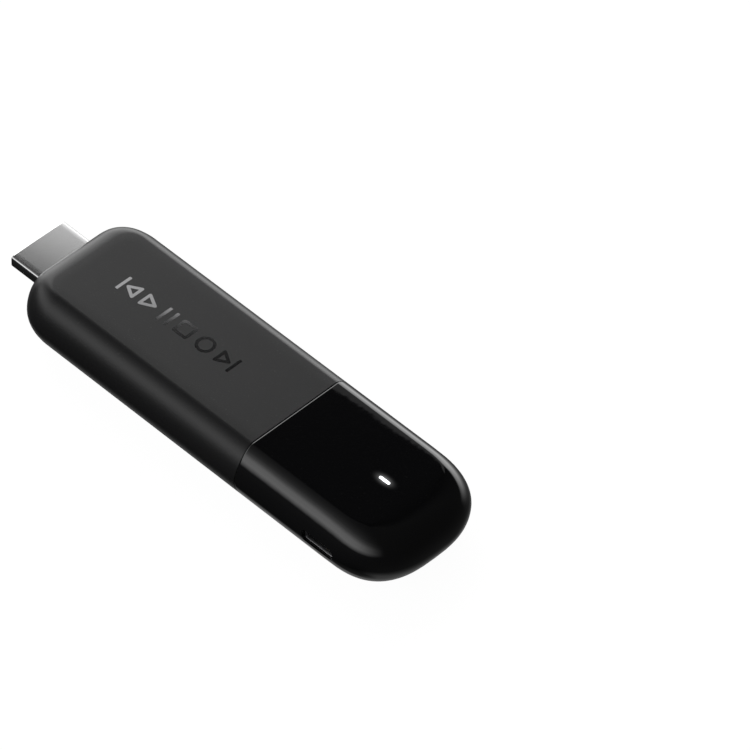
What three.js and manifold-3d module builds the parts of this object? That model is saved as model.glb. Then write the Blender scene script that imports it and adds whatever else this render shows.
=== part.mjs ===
// Streaming media player: a stick with an video plug at one end, a matt sleeve, a gloss end cap,
// and a board with its parts on a carrier that slides into the sleeve.
//
// Millimetres. +X runs along the stick to the plug's mouth, +Y to the side with the power socket,
// +Z out of the front face. The origin is under the middle, on the plane of the back face.

import * as THREE from 'three';
import { mergeVertices } from 'three/addons/utils/BufferGeometryUtils.js';
import Module from 'manifold-3d';

const wasm = await Module();
wasm.setup();

// ---------------------------------------------------------------- driving dimensions

// the case
const BODY_LENGTH = 98.4;
const BODY_WIDTH = 31.2;
const BODY_THICKNESS = 14.1;
const CAP_LENGTH = 37.4;
const WALL = 1.6;
const SEAM_GAP = 0.3;
const PLUG_REACH = 8.4;

// the outline's corners: superellipse quarters, one pair at each end
const PLUG_CORNER = { along: 9.4, across: 8.8, power: 2.13 };
const TIP_CORNER = { along: 15.0, power: 2.66 };

// the rounding from the side wall to the flat faces: how far it reaches in, and its fullness
const SIDE_EDGE = { depth: 4.8, power: 1.6 };
const PLUG_EDGE = { depth: 5.5, power: 2.26 };
const TIP_EDGE = { depth: 8.2, power: 2.2 };

// the cap's spigot and its two latches
const SPIGOT_LENGTH = 4.0;
const SPIGOT_WALL = 0.9;
const SPIGOT_ROOT = 3.0;
const SLIDE_FIT = 0.15;
const LATCH = { start: 1.6, length: 1.4, height: 2.4, rise: 0.5 };
const LATCH_PLAY = 0.3;

// the video plug: wide face to the front, narrow face to the back
const PLUG = {
  width: 13.9,
  height: 4.45,
  sideHeight: 2.57,
  footWidth: 12.3,
  footHeight: 3.17,
  narrowWidth: 9.96,
};
const PLUG_DROP = 0.67; // how far its middle sits behind the case's
const PLUG_SHEET = 0.35;
const PLUG_WINDOW = { fromTip: 4.7, spread: 5.0, length: 1.5, width: 1.45 };
const PLUG_LEG_LENGTH = 2.4;
const CONTACT = { count: 19, pitch: 0.5, width: 0.35, thickness: 0.2, offset: 0.58, tail: 1.9 };
const CONTACT_SETBACK = 1.5;
const INSULATOR_SETBACK = 0.8;
const INSULATOR_SLOT = { width: 11.6, height: 1.9, floor: 3.0 };
const SMALL_GAP = 0.1;
const HAIR = 0.02;

// the power socket, in the cap's side wall
const SOCKET = { fromTip: 16.0, drop: 0.3, width: 7.4, height: 2.5, depth: 5.6, corner: 0.6, sheet: 0.25 };
const SOCKET_RECESS = 0.9;
const SOCKET_HOLE_PLAY = 0.2;
const SOCKET_TONGUE = { width: 3.7, height: 0.6, reach: 4.2, rise: 0.35 };
const SOCKET_CONTACT = { count: 5, pitch: 0.65, width: 0.3, thickness: 0.12, length: 3.0 };
const SOCKET_BACK = 1.0;

// the status light
const LIGHT = { fromTip: 14.2, length: 2.7, width: 0.7, flange: 0.9, flangeThickness: 0.8 };
const LIGHT_CHIP = { length: 1.6, width: 0.8, height: 0.6 };

// the carrier and the board
const CARRIER = { sideRoom: 2.0, base: 0.88, rim: 2.22, wall: 1.0, ledge: 1.3, corner: 5.0 };
const CARRIER_PLUG_ROOM = 0.5;
const CARRIER_TIP_ROOM = 3.3;
const BOARD_THICKNESS = 1.0;
const PIECE_GAP = 0.3;
const BOARD_CORNER = 4.0;
const RIB = { width: 1.0, start: 6.0, end: 8.0 };
const SCREW = { fromSeam: 6.6, inset: 2.0, radius: 0.7, headRadius: 1.3, headHeight: 0.7 };
const BOSS_RADIUS = 1.9;
const SCREW_PLAY = 0.15;

// what stands on the board, each [length, width, height]
const SOLDER = 0.05;
const PROCESSOR = { size: [14, 14, 1.2], fromFront: 15.6, y: 0 };
const MEMORY = { size: [9, 13, 1.0], fromFront: 29.0, y: 0 };
const FLASH = { size: [13, 11.5, 1.0], fromFront: 25.0, y: 0 };
const POWER_CHIP = { size: [4, 4, 0.9], fromFront: 47.0, y: 4.4 };
const WIFI_MODULE = { size: [12, 11, 1.7], fromRear: 24.4, y: 1.5 };
const CRYSTAL = { size: [3.2, 2.5, 0.8], fromFront: 38.8, y: -5.6 };
const INDUCTOR = { radius: 2.0, corner: 0.8, height: 2.1, fromFront: 42.0, ys: [-0.4, 4.6] };
const CAPACITOR = { size: [3.5, 2.8, 1.9], fromFront: 47.6, ys: [-4.9, -0.9] };
const SHIELD = { length: 30.0, margin: 2.4, height: 2.6, sheet: 0.25, fromFront: 6.0 };
const CHIP_PAD = { length: 11.0, width: 11.0 };
const SPREADER = { margin: 1.3, sheet: 0.8, flange: 1.3, fromPlugEnd: 10.0, fromSeam: 7.0 };
const FRONT_PAD = { length: 24.0, width: 14.0 };
const BACK_PAD = { length: 12.0, width: 10.5 };
const ANTENNA = { length: 10.0, width: 2.6, height: 2.2, sheet: 0.3, leg: 0.8, secondLeg: 2.6 };
const ANTENNA_FROM_REAR = 0.4;

// mesh fineness
const CORNER_STEPS = 9;
const EDGE_STEPS = 7;
const ARC_STEPS = 5;

// ---------------------------------------------------------------- places worked out from them

const tipX = -(BODY_LENGTH + PLUG_REACH) / 2;
const plugEndX = tipX + BODY_LENGTH;
const plugTipX = plugEndX + PLUG_REACH;
const seamX = tipX + CAP_LENGTH;
const midX = (tipX + plugEndX) / 2;
const midZ = BODY_THICKNESS / 2;
const halfWidth = BODY_WIDTH / 2;
const plugZ = midZ - PLUG_DROP;
const socketZ = midZ - SOCKET.drop;

const carrierFrontX = plugEndX - WALL - CARRIER_PLUG_ROOM;
const carrierRearX = tipX + WALL + CARRIER_TIP_ROOM;
const boardFrontX = carrierFrontX - CARRIER.wall - PIECE_GAP - CARRIER_PLUG_ROOM;
const boardRearX = carrierRearX + CARRIER.wall + PIECE_GAP;
const carrierWidth = BODY_WIDTH - 2 * (WALL + CARRIER.sideRoom);
const boardWidth = carrierWidth - 2 * (CARRIER.wall + PIECE_GAP);
const boardTopZ = plugZ + BOARD_THICKNESS / 2;
const boardBottomZ = plugZ - BOARD_THICKNESS / 2;
const ledgeTopZ = boardBottomZ - PIECE_GAP;
const carrierBottomZ = ledgeTopZ - CARRIER.base;
const carrierTopZ = boardTopZ + CARRIER.rim;
const plugRearX = boardFrontX + PIECE_GAP;

const socketX = tipX + SOCKET.fromTip;
const socketMouthY = halfWidth - SOCKET_RECESS;
const socketRearY = socketMouthY - SOCKET.depth;
const lightX = tipX + LIGHT.fromTip;
const screwX = seamX + SCREW.fromSeam;
const screwY = boardWidth / 2 - SCREW.inset;

const spreaderFaceZ = { front: BODY_THICKNESS - WALL - PIECE_GAP, back: WALL + PIECE_GAP };
const spreaderDepth = SPREADER.sheet + SPREADER.flange;
const spreaderWidth = BODY_WIDTH - 2 * (SIDE_EDGE.depth + SPREADER.margin);
const shieldWidth = boardWidth - 2 * SHIELD.margin;
const bossBottomZ = spreaderFaceZ.back + spreaderDepth + PIECE_GAP;

// ---------------------------------------------------------------- shapes and solids

function solidOf(geometry) {
  const bare = geometry.clone();
  bare.deleteAttribute('normal');
  bare.deleteAttribute('uv');
  const merged = mergeVertices(bare, 1e-5);
  const index = Array.from(merged.index.array);
  const triVerts = [];
  for (let i = 0; i < index.length; i += 3) {
    const [a, b, c] = index.slice(i, i + 3);
    if (a !== b && b !== c && c !== a) triVerts.push(a, b, c);
  }
  const vertProperties = new Float32Array(merged.attributes.position.array);
  const mesh = { numProp: 3, vertProperties, triVerts: new Uint32Array(triVerts) };
  return new wasm.Manifold(new wasm.Mesh(mesh));
}

function geometryOf(solid) {
  const mesh = solid.getMesh();
  const geometry = new THREE.BufferGeometry();
  geometry.setAttribute('position', new THREE.BufferAttribute(new Float32Array(mesh.vertProperties), 3));
  geometry.setIndex(Array.from(mesh.triVerts));
  geometry.computeVertexNormals();
  return geometry;
}

function blockGeometry([x0, x1], [y0, y1], [z0, z1]) {
  const box = new THREE.BoxGeometry(x1 - x0, y1 - y0, z1 - z0);
  return box.translate((x0 + x1) / 2, (y0 + y1) / 2, (z0 + z1) / 2);
}

const block = (x, y, z) => solidOf(blockGeometry(x, y, z));

// An outline drawn in the plane across one axis, pushed along that axis from one value to another.
const ACROSS = {
  x: [[0, 1, 0], [0, 0, 1], [1, 0, 0]],
  y: [[0, 0, 1], [1, 0, 0], [0, 1, 0]],
  z: [[1, 0, 0], [0, 1, 0], [0, 0, 1]],
};

function prismGeometry(axis, shape, from, to) {
  const columns = ACROSS[axis].map((v) => new THREE.Vector3(...v));
  const options = { depth: to - from, bevelEnabled: false, curveSegments: ARC_STEPS };
  const geometry = new THREE.ExtrudeGeometry(shape, options);
  geometry.translate(0, 0, from);
  return geometry.applyMatrix4(new THREE.Matrix4().makeBasis(...columns));
}

const prism = (axis, shape, from, to) => solidOf(prismGeometry(axis, shape, from, to));
const shapeOf = (points) => new THREE.Shape(points.map(([a, b]) => new THREE.Vector2(a, b)));

function roundedRectangle(a0, a1, b0, b1, radius) {
  const shape = new THREE.Shape();
  shape.moveTo(a0 + radius, b0);
  shape.lineTo(a1 - radius, b0);
  shape.absarc(a1 - radius, b0 + radius, radius, -Math.PI / 2, 0);
  shape.lineTo(a1, b1 - radius);
  shape.absarc(a1 - radius, b1 - radius, radius, 0, Math.PI / 2);
  shape.lineTo(a0 + radius, b1);
  shape.absarc(a0 + radius, b1 - radius, radius, Math.PI / 2, Math.PI);
  shape.lineTo(a0, b0 + radius);
  shape.absarc(a0 + radius, b0 + radius, radius, Math.PI, 1.5 * Math.PI);
  return shape;
}

function cylinder(x, y, z0, z1, radius) {
  const geometry = new THREE.CylinderGeometry(radius, radius, z1 - z0, 16);
  return solidOf(geometry.rotateX(Math.PI / 2).translate(x, y, (z0 + z1) / 2));
}

// ---------------------------------------------------------------- the case's outer form

// One corner of the outline, from its end (t = 0) round to its side (t = 1).
function cornerPoint(corner, t, inset) {
  const angle = (t * Math.PI) / 2;
  const c = Math.cos(angle);
  const s = Math.sin(angle);
  const across = Math.min(corner.across ?? halfWidth, halfWidth) - inset;
  const along = corner.along - inset;
  const x = along * Math.pow(c, 2 / corner.power);
  const y = across * Math.pow(s, 2 / corner.power);
  const normal = new THREE.Vector2(
    Math.pow(c, 2 - 2 / corner.power) / along,
    Math.pow(s, 2 - 2 / corner.power) / across,
  ).normalize();
  return { x, y, across, along, normal };
}

// The case's outline, anticlockwise from the middle of the tip, drawn in by an even inset.
function caseOutline(inset) {
  const points = [];
  const place = (corner, t, endX, endSign, side) => {
    const p = cornerPoint(corner, t, inset);
    const cornerX = endX - endSign * (inset + p.along);
    const cornerY = halfWidth - inset - p.across;
    points.push({
      x: cornerX + endSign * p.x,
      y: side * (cornerY + p.y),
      nx: endSign * p.normal.x,
      ny: side * p.normal.y,
    });
  };
  for (let i = 0; i <= CORNER_STEPS; i++) place(TIP_CORNER, i / CORNER_STEPS, tipX, -1, -1);
  for (let i = CORNER_STEPS; i >= 0; i--) place(PLUG_CORNER, i / CORNER_STEPS, plugEndX, 1, -1);
  for (let i = 0; i <= CORNER_STEPS; i++) place(PLUG_CORNER, i / CORNER_STEPS, plugEndX, 1, 1);
  for (let i = CORNER_STEPS; i > 0; i--) place(TIP_CORNER, i / CORNER_STEPS, tipX, -1, 1);
  return points;
}

// How the edge rounding changes round the outline: its side values blend into each end's.
function edgeAt(point, inset) {
  const end = point.nx > 0 ? PLUG_EDGE : TIP_EDGE;
  const share = point.nx * point.nx;
  return {
    depth: SIDE_EDGE.depth + (end.depth - SIDE_EDGE.depth) * share - inset,
    power: SIDE_EDGE.power + (end.power - SIDE_EDGE.power) * share,
  };
}

// The whole case as one smooth solid, drawn in by an even inset: its outer form at 0, its hollow
// at the wall's thickness. The rings of a sphere are moved onto the outline and the rounded edge.
function caseForm(inset) {
  const outline = caseOutline(inset);
  const rings = 2 * EDGE_STEPS + 2;
  const halfHeight = midZ - inset;
  const sphere = new THREE.SphereGeometry(1, outline.length, rings);
  const position = sphere.attributes.position;
  for (let ring = 0; ring <= rings; ring++) {
    const angle = ((EDGE_STEPS + 1 - ring) / EDGE_STEPS) * (Math.PI / 2);
    for (let i = 0; i <= outline.length; i++) {
      const at = ring * (outline.length + 1) + i;
      if (ring === 0 || ring === rings) {
        position.setXYZ(at, midX, 0, midZ + (ring === 0 ? halfHeight : -halfHeight));
        continue;
      }
      const point = outline[i % outline.length];
      const edge = edgeAt(point, inset);
      const inward = edge.depth * (1 - Math.pow(Math.max(Math.cos(angle), 0), 2 / edge.power));
      const rise = halfHeight * Math.sign(angle) * Math.pow(Math.abs(Math.sin(angle)), 2 / edge.power);
      position.setXYZ(at, point.x - point.nx * inward, point.y - point.ny * inward, midZ + rise);
    }
  }
  return solidOf(sphere);
}

const FAR = 200;
const everywhere = [-FAR, FAR];
const slabX = (x0, x1) => block([x0, x1], everywhere, everywhere);

const outerForm = caseForm(0);
const hollow = caseForm(WALL);

// ---------------------------------------------------------------- the plug's section

// The plug's outline as [y, z] about its centre, drawn in by an even inset at every side.
function plugSection(inset) {
  const top = PLUG.height / 2;
  const corners = [
    [-PLUG.width / 2, top],
    [-PLUG.width / 2, top - PLUG.sideHeight],
    [-PLUG.footWidth / 2, top - PLUG.footHeight],
    [-PLUG.narrowWidth / 2, -top],
    [PLUG.narrowWidth / 2, -top],
    [PLUG.footWidth / 2, top - PLUG.footHeight],
    [PLUG.width / 2, top - PLUG.sideHeight],
    [PLUG.width / 2, top],
  ].map(([y, z]) => new THREE.Vector2(y, z));
  return corners.map((corner, i) => {
    const before = corners[(i + corners.length - 1) % corners.length];
    const after = corners[(i + 1) % corners.length];
    const inA = corner.clone().sub(before).normalize();
    const inB = after.clone().sub(corner).normalize();
    const normalA = new THREE.Vector2(-inA.y, inA.x);
    const normalB = new THREE.Vector2(-inB.y, inB.x);
    const mitre = normalA.clone().add(normalB);
    mitre.multiplyScalar(inset / (1 + normalA.dot(normalB)));
    return [corner.x + mitre.x, plugZ + corner.y + mitre.y];
  });
}

const plugPrism = (inset, x0, x1) => prism('x', shapeOf(plugSection(inset)), x0, x1);

// ---------------------------------------------------------------- case pieces

function makeSleeve() {
  const half = outerForm.intersect(slabX(seamX + SEAM_GAP / 2, FAR));
  const ribOuterY = carrierWidth / 2;
  const ribX = [seamX + RIB.start, plugEndX - RIB.end];
  let sleeve = half.subtract(hollow);
  for (const side of [-1, 1]) {
    const ribY = [side * ribOuterY, side * (ribOuterY - RIB.width)].sort((a, b) => a - b);
    const below = block(ribX, ribY, [0, carrierBottomZ - PIECE_GAP]);
    const above = block(ribX, ribY, [carrierTopZ + PIECE_GAP, BODY_THICKNESS]);
    sleeve = sleeve.add(below.intersect(half)).add(above.intersect(half));
  }
  sleeve = sleeve.subtract(plugPrism(-SLIDE_FIT, seamX, FAR));
  return sleeve.subtract(latchBlock(LATCH_PLAY));
}

// The pair of latches across the spigot, or with some play the pockets that they snap into.
function latchBlock(play) {
  const reach = halfWidth - WALL - SLIDE_FIT + LATCH.rise + play / 2;
  const x = [seamX + LATCH.start - play, seamX + LATCH.start + LATCH.length + play];
  const z = [midZ - LATCH.height / 2 - play, midZ + LATCH.height / 2 + play];
  const hollowHalf = halfWidth - WALL - SLIDE_FIT - SPIGOT_WALL / 2;
  return block(x, [-reach, -hollowHalf], z).add(block(x, [hollowHalf, reach], z));
}

function makeEndCap() {
  const shell = outerForm.subtract(hollow).intersect(slabX(-FAR, seamX - SEAM_GAP / 2));
  const root = caseForm(WALL - SLIDE_FIT).intersect(slabX(seamX - SPIGOT_ROOT, seamX - SEAM_GAP / 2));
  const tube = caseForm(WALL + SLIDE_FIT).intersect(slabX(seamX - SPIGOT_ROOT, seamX + SPIGOT_LENGTH));
  const bore = caseForm(WALL + SLIDE_FIT + SPIGOT_WALL);
  const spigot = root.add(tube).add(latchBlock(0)).subtract(bore);
  const socketHole = socketPrism(SOCKET_HOLE_PLAY, socketRearY, FAR);
  return shell.add(spigot).subtract(socketHole).subtract(lightSlot(SMALL_GAP));
}

// The power socket's rounded outline, grown by some play, from one depth to another.
function socketPrism(play, y0, y1) {
  const halfW = SOCKET.width / 2 + play;
  const halfH = SOCKET.height / 2 + play;
  const radius = SOCKET.corner + play;
  const z = [socketZ - halfH, socketZ + halfH];
  const shape = roundedRectangle(z[0], z[1], socketX - halfW, socketX + halfW, radius);
  return prism('y', shape, y0, y1);
}

// The status light's slot through the cap's front wall; negative play gives what fits in it.
function lightSlot(play, z0 = midZ, z1 = FAR) {
  const halfL = LIGHT.length / 2 + play - SMALL_GAP;
  const halfW = LIGHT.width / 2 + play - SMALL_GAP;
  const shape = roundedRectangle(lightX - halfL, lightX + halfL, -halfW, halfW, halfW - HAIR);
  return prism('z', shape, z0, z1);
}

function makeLightGuide() {
  const wallZ = BODY_THICKNESS - WALL;
  const chipTopZ = boardTopZ + SOLDER + LIGHT_CHIP.height;
  const blade = lightSlot(0, chipTopZ + PIECE_GAP, BODY_THICKNESS);
  const flange = lightSlot(LIGHT.flange, wallZ - SMALL_GAP - LIGHT.flangeThickness, wallZ - SMALL_GAP);
  return blade.add(flange);
}

// ---------------------------------------------------------------- carrier and board

function rounded(x0, x1, width, radius, z0, z1) {
  return prism('z', roundedRectangle(x0, x1, -width / 2, width / 2, radius), z0, z1);
}

function makeCarrier() {
  const ringZ = [carrierBottomZ, carrierTopZ];
  const ring = rounded(carrierRearX, carrierFrontX, carrierWidth, CARRIER.corner, ...ringZ);
  const pocketWidth = carrierWidth - 2 * CARRIER.wall;
  const pocketX = [carrierRearX + CARRIER.wall, carrierFrontX - CARRIER.wall];
  const pocket = rounded(...pocketX, pocketWidth, BOARD_CORNER + PIECE_GAP, ledgeTopZ, FAR);
  const opening = rounded(
    pocketX[0] + CARRIER.ledge, pocketX[1] - CARRIER.ledge,
    pocketWidth - 2 * CARRIER.ledge, BOARD_CORNER - CARRIER.ledge, 0, FAR,
  );
  let carrier = ring.subtract(pocket).subtract(opening);
  for (const side of [-1, 1]) {
    const boss = cylinder(screwX, side * screwY, bossBottomZ, ledgeTopZ, BOSS_RADIUS);
    const pilot = cylinder(screwX, side * screwY, 0, FAR, SCREW.radius + SCREW_PLAY);
    carrier = carrier.add(boss).subtract(pilot);
  }
  carrier = carrier.subtract(plugPrism(-PIECE_GAP, boardFrontX - PLUG_LEG_LENGTH, FAR));
  return carrier.subtract(socketPrism(PIECE_GAP, socketRearY - PIECE_GAP, FAR));
}

function makeBoard() {
  let board = rounded(boardRearX, boardFrontX, boardWidth, BOARD_CORNER, boardBottomZ, boardTopZ);
  board = board.subtract(block(
    [socketX - SOCKET.width / 2 - PIECE_GAP, socketX + SOCKET.width / 2 + PIECE_GAP],
    [socketRearY - PIECE_GAP, FAR], everywhere,
  ));
  for (const side of [-1, 1]) {
    board = board.subtract(cylinder(screwX, side * screwY, 0, FAR, SCREW.radius + SCREW_PLAY));
    board = board.subtract(legBlock(side, PIECE_GAP, 0));
  }
  return board;
}

// ---------------------------------------------------------------- video plug

// A soldered leg that runs back from the shell's side wall and down into a slot in the board.
function legBlock(side, play, bottomZ) {
  const outer = PLUG.width / 2;
  const y = [side * (outer + play), side * (outer - PLUG_SHEET - play)].sort((a, b) => a - b);
  const top = plugZ + PLUG.height / 2 - SMALL_GAP;
  const x = [boardFrontX - PLUG_LEG_LENGTH - play, plugRearX + PLUG_SHEET];
  return block(x, y, [bottomZ, top]);
}

function makePlugShell() {
  const tube = plugPrism(0, plugRearX, plugTipX).subtract(plugPrism(PLUG_SHEET, -FAR, FAR));
  const windowX = plugTipX - PLUG_WINDOW.fromTip;
  const legBottomZ = boardBottomZ + SMALL_GAP;
  let shell = tube.add(legBlock(-1, 0, legBottomZ)).add(legBlock(1, 0, legBottomZ));
  for (const side of [-1, 1]) {
    const y = (side * PLUG_WINDOW.spread) / 2;
    shell = shell.subtract(block(
      [windowX - PLUG_WINDOW.length / 2, windowX + PLUG_WINDOW.length / 2],
      [y - PLUG_WINDOW.width / 2, y + PLUG_WINDOW.width / 2],
      [0, plugZ - PLUG.height / 2 + PLUG_SHEET + SMALL_GAP / 2],
    ));
  }
  return shell;
}

// Contact 1 is at the -Y end of the wide side; odd numbers are on that side, even ones opposite.
function contactPlace(number) {
  const y = (number - (CONTACT.count + 1) / 2) * CONTACT.pitch;
  const side = number % 2 === 1 ? 1 : -1;
  return { y, side };
}

function contactBlock(number, play, x0, x1) {
  const { y, side } = contactPlace(number);
  const z = [CONTACT.offset - play, CONTACT.offset + CONTACT.thickness + play];
  const zSide = z.map((value) => plugZ + side * value).sort((a, b) => a - b);
  return block([x0, x1], [y - CONTACT.width / 2 - play, y + CONTACT.width / 2 + play], zSide);
}

function makePlugInsulator() {
  const mouthX = plugTipX - INSULATOR_SETBACK;
  let insulator = plugPrism(PLUG_SHEET + SMALL_GAP, plugRearX, mouthX);
  insulator = insulator.subtract(block(
    [plugRearX + INSULATOR_SLOT.floor, FAR],
    [-INSULATOR_SLOT.width / 2, INSULATOR_SLOT.width / 2],
    [plugZ - INSULATOR_SLOT.height / 2, plugZ + INSULATOR_SLOT.height / 2],
  ));
  const contactEndX = plugTipX - CONTACT_SETBACK + SMALL_GAP;
  for (let number = 1; number <= CONTACT.count; number++) {
    insulator = insulator.subtract(contactBlock(number, SMALL_GAP / 2, -FAR, contactEndX));
  }
  return insulator;
}

// ---------------------------------------------------------------- power socket

function makeSocketShell() {
  const outer = socketPrism(0, socketRearY, socketMouthY);
  return outer.subtract(socketPrism(-SOCKET.sheet, socketRearY - SOCKET.sheet, FAR));
}

const tongueZ = socketZ + SOCKET_TONGUE.rise;

function makeSocketTongue() {
  const back = socketPrism(-SOCKET.sheet - SMALL_GAP, socketRearY, socketRearY + SOCKET_BACK);
  const tongue = block(
    [socketX - SOCKET_TONGUE.width / 2, socketX + SOCKET_TONGUE.width / 2],
    [socketRearY, socketRearY + SOCKET_TONGUE.reach],
    [tongueZ - SOCKET_TONGUE.height / 2, tongueZ + SOCKET_TONGUE.height / 2],
  );
  return back.add(tongue);
}

// ---------------------------------------------------------------- shield, spreaders, antennas

const shieldX = [boardFrontX - SHIELD.fromFront - SHIELD.length, boardFrontX - SHIELD.fromFront];
const shieldY = [-shieldWidth / 2, shieldWidth / 2];
const shieldTopZ = boardTopZ + SOLDER + SHIELD.height;
const shrink = ([low, high], by) => [low + by, high - by];

function makeShieldFrame() {
  const z = [boardTopZ + SOLDER, shieldTopZ - SHIELD.sheet - SMALL_GAP];
  const inset = SHIELD.sheet + SMALL_GAP;
  const outer = block(shrink(shieldX, inset), shrink(shieldY, inset), z);
  const hole = inset + SHIELD.sheet;
  return outer.subtract(block(shrink(shieldX, hole), shrink(shieldY, hole), everywhere));
}

function makeShieldLid() {
  const outer = block(shieldX, shieldY, [boardTopZ + SOLDER + PIECE_GAP, shieldTopZ]);
  const insideZ = [0, shieldTopZ - SHIELD.sheet];
  return outer.subtract(block(shrink(shieldX, SHIELD.sheet), shrink(shieldY, SHIELD.sheet), insideZ));
}

const spreaderX = [seamX + SPREADER.fromSeam, plugEndX - SPREADER.fromPlugEnd];

// A shallow channel of sheet with its flanges turned in towards the board.
function makeSpreader(side) {
  const sign = side === 'front' ? -1 : 1;
  const face = spreaderFaceZ[side];
  const halfW = spreaderWidth / 2;
  const inner = halfW - SPREADER.sheet;
  const web = face + sign * SPREADER.sheet;
  const lip = web + sign * SPREADER.flange;
  const points = [[-halfW, face], [halfW, face], [halfW, lip], [inner, lip],
    [inner, web], [-inner, web], [-inner, lip], [-halfW, lip]];
  return solidOf(prismGeometry('x', shapeOf(side === 'front' ? points.reverse() : points), ...spreaderX));
}

// A stamped antenna: a strip held above the board on two legs, drawn across its length.
function antennaGeometry() {
  const { length, width, height, sheet, leg, secondLeg } = ANTENNA;
  const under = height - sheet;
  const points = [[0, 0], [leg, 0], [leg, under], [secondLeg, under], [secondLeg, 0],
    [secondLeg + leg, 0], [secondLeg + leg, under], [length, under], [length, height], [0, height]];
  return prismGeometry('x', shapeOf(points), -width / 2, width / 2).translate(0, -length / 2, 0);
}

// ---------------------------------------------------------------- the assembly

function finish(color, roughness, metalness) {
  return new THREE.MeshStandardMaterial({ color, roughness, metalness });
}

const MATERIALS = {
  mattePlastic: finish(0x2d2d2f, 0.55, 0),
  glossPlastic: finish(0x0a0a0c, 0.08, 0),
  nickel: finish(0xb5b5b8, 0.25, 1),
  steel: finish(0xa0a2a6, 0.35, 1),
  darkResin: finish(0x141416, 0.6, 0),
  gold: finish(0xd2b06a, 0.25, 1),
  board: finish(0x12352a, 0.45, 0),
  chip: finish(0x1b1b1d, 0.55, 0),
  aluminium: finish(0xb9bcc0, 0.4, 1),
  pad: finish(0x9fb4c4, 0.85, 0),
  clear: finish(0xf4f6f8, 0.3, 0),
  frame: finish(0x3a3a3c, 0.6, 0),
  ferrite: finish(0x3b3c40, 0.7, 0),
  tantalum: finish(0xc58a2c, 0.5, 0),
};

const player = new THREE.Group();

function add(name, geometry, material, parent = player, position = [0, 0, 0]) {
  const mesh = new THREE.Mesh(geometry, MATERIALS[material]);
  mesh.name = name;
  mesh.position.set(...position);
  parent.add(mesh);
  return mesh;
}

function boxOn(parent, name, size, material, x, y, face = 1) {
  const lift = face * (SOLDER + size[2] / 2);
  add(name, new THREE.BoxGeometry(...size), material, parent, [x, y, lift]);
}

// case
add('matte_sleeve', geometryOf(makeSleeve()), 'mattePlastic');
add('gloss_end_cap', geometryOf(makeEndCap()), 'glossPlastic');
add('light_guide', geometryOf(makeLightGuide()), 'clear');

// carrier and board
add('carrier_frame', geometryOf(makeCarrier()), 'frame');
add('main_board', geometryOf(makeBoard()), 'board');
for (const side of [-1, 1]) {
  const r = SCREW.radius;
  const length = boardTopZ + SOLDER - bossBottomZ;
  const profile = [[0, -length], [r, -length], [r, 0], [SCREW.headRadius, 0],
    [SCREW.headRadius, SCREW.headHeight], [0, SCREW.headHeight]];
  const lathe = new THREE.LatheGeometry(profile.map(([x, y]) => new THREE.Vector2(x, y)), 16);
  const screw = geometryOf(solidOf(lathe.rotateX(Math.PI / 2)));
  add(`board_screw_${side < 0 ? 1 : 2}`, screw, 'steel', player, [screwX, side * screwY, boardTopZ + SOLDER]);
}

// video plug
add('plug_shell', geometryOf(makePlugShell()), 'nickel');
add('plug_insulator', geometryOf(makePlugInsulator()), 'darkResin');
for (let number = 1; number <= CONTACT.count; number++) {
  const { y, side } = contactPlace(number);
  const x = [boardFrontX - CONTACT.tail, plugTipX - CONTACT_SETBACK];
  const strip = new THREE.BoxGeometry(x[1] - x[0], CONTACT.width, CONTACT.thickness);
  const z = plugZ + side * (CONTACT.offset + CONTACT.thickness / 2);
  add(`plug_contact_${String(number).padStart(2, '0')}`, strip, 'gold', player, [(x[0] + x[1]) / 2, y, z]);
}

// power socket
add('socket_shell', geometryOf(makeSocketShell()), 'nickel');
add('socket_tongue', geometryOf(makeSocketTongue()), 'darkResin');
for (let number = 1; number <= SOCKET_CONTACT.count; number++) {
  const { count, pitch, width, length, thickness } = SOCKET_CONTACT;
  const x = socketX + (number - (count + 1) / 2) * pitch;
  const y = socketRearY + SOCKET_BACK + HAIR + length / 2;
  const z = tongueZ - SOCKET_TONGUE.height / 2 - thickness / 2 - HAIR;
  const strip = new THREE.BoxGeometry(width, length, thickness);
  add(`socket_contact_${number}`, strip, 'gold', player, [x, y, z]);
}

// front of the board
const front = new THREE.Group();
front.position.z = boardTopZ;
player.add(front);
boxOn(front, 'processor', PROCESSOR.size, 'chip', boardFrontX - PROCESSOR.fromFront, PROCESSOR.y);
boxOn(front, 'memory_chip', MEMORY.size, 'chip', boardFrontX - MEMORY.fromFront, MEMORY.y);
boxOn(front, 'power_chip', POWER_CHIP.size, 'chip', boardFrontX - POWER_CHIP.fromFront, POWER_CHIP.y);
boxOn(front, 'clock_crystal', CRYSTAL.size, 'steel', boardFrontX - CRYSTAL.fromFront, CRYSTAL.y);
boxOn(front, 'wifi_module', WIFI_MODULE.size, 'steel', boardRearX + WIFI_MODULE.fromRear, WIFI_MODULE.y);
boxOn(front, 'status_led', [LIGHT_CHIP.length, LIGHT_CHIP.width, LIGHT_CHIP.height], 'clear', lightX, 0);
CAPACITOR.ys.forEach((y, i) => {
  boxOn(front, `capacitor_${i + 1}`, CAPACITOR.size, 'tantalum', boardFrontX - CAPACITOR.fromFront, y);
});
INDUCTOR.ys.forEach((y, i) => {
  const r = INDUCTOR.radius;
  const body = prismGeometry('z', roundedRectangle(-r, r, -r, r, INDUCTOR.corner), 0, INDUCTOR.height);
  add(`power_inductor_${i + 1}`, body, 'ferrite', front, [boardFrontX - INDUCTOR.fromFront, y, SOLDER]);
});

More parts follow.
